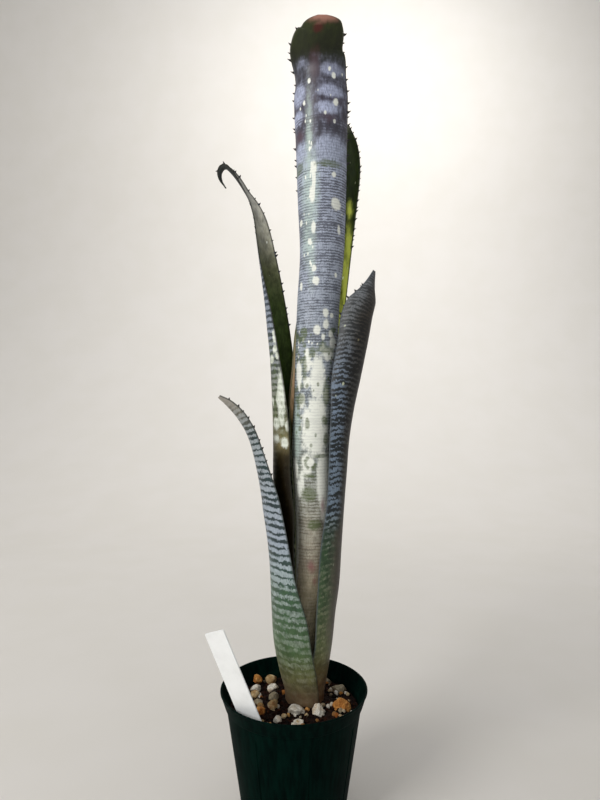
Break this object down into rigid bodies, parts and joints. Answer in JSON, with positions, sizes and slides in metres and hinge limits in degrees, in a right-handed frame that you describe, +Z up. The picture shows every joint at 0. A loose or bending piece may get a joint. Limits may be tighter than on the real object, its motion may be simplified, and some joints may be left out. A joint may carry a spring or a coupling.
{
  "type": "potted tubular bromeliad",
  "caption": "Tall tubular bromeliad with slim banded leaves, rooted in a tapered nursery pot of dark mix with loose stones on top and a plain plant label.",
  "frame": {"origin": "middle of the pot's foot, where the pot rests on the surface", "axes": "+Z up along the leaves, +X to the viewer's right, +Y away from the viewer"},
  "size_m": [0.1173, 0.1058, 0.5549],
  "materials": {
    "pot": "dark green moulded plastic, semi-gloss",
    "mix": "dark red-brown granular potting mix, matt",
    "stem": "fibrous brown stem and wiry roots",
    "label": "plain white plastic, satin",
    "stone_pale": "rough white pumice",
    "stone_orange": "rough orange-brown gravel",
    "stone_grey": "rough grey gravel",
    "stone_tan": "rough tan gravel",
    "leaf_cream": "leathery leaf, scurfy grey-lilac bands with cream and green marks",
    "leaf_dark": "leathery leaf, dark green face with an olive stripe",
    "leaf_olive": "leathery leaf, silver bands on dark olive with cream marks",
    "leaf_slate": "leathery leaf, fine silver-blue bands on slate",
    "leaf_silver": "leathery leaf, broad silver bands on dark green"
  },
  "bodies": {
    "root": {"pot": "pot", "potting_mix": "mix", "stem_and_roots": "stem", "plant_label": "label", "stone_white_front": "stone_pale", "stone_white_wedge": "stone_pale", "stone_orange_right": "stone_orange", "stone_grey_right": "stone_grey", "stone_grey_back": "stone_grey", "stone_amber_left": "stone_orange", "stone_tan_left": "stone_tan", "stone_pale_left": "stone_pale", "stone_brown_left": "stone_tan", "stone_white_left": "stone_pale", "stone_grey_left": "stone_grey", "stone_ash_left": "stone_grey", "stone_rust_left": "stone_orange", "stone_clay_left": "stone_tan", "stone_white_low": "stone_pale", "stone_pale_front": "stone_pale", "leaf_front_tall": "leaf_cream", "leaf_back": "leaf_dark", "leaf_hooked_left": "leaf_olive", "leaf_right": "leaf_slate", "leaf_low_left": "leaf_silver"}
  },
  "joints": []
}
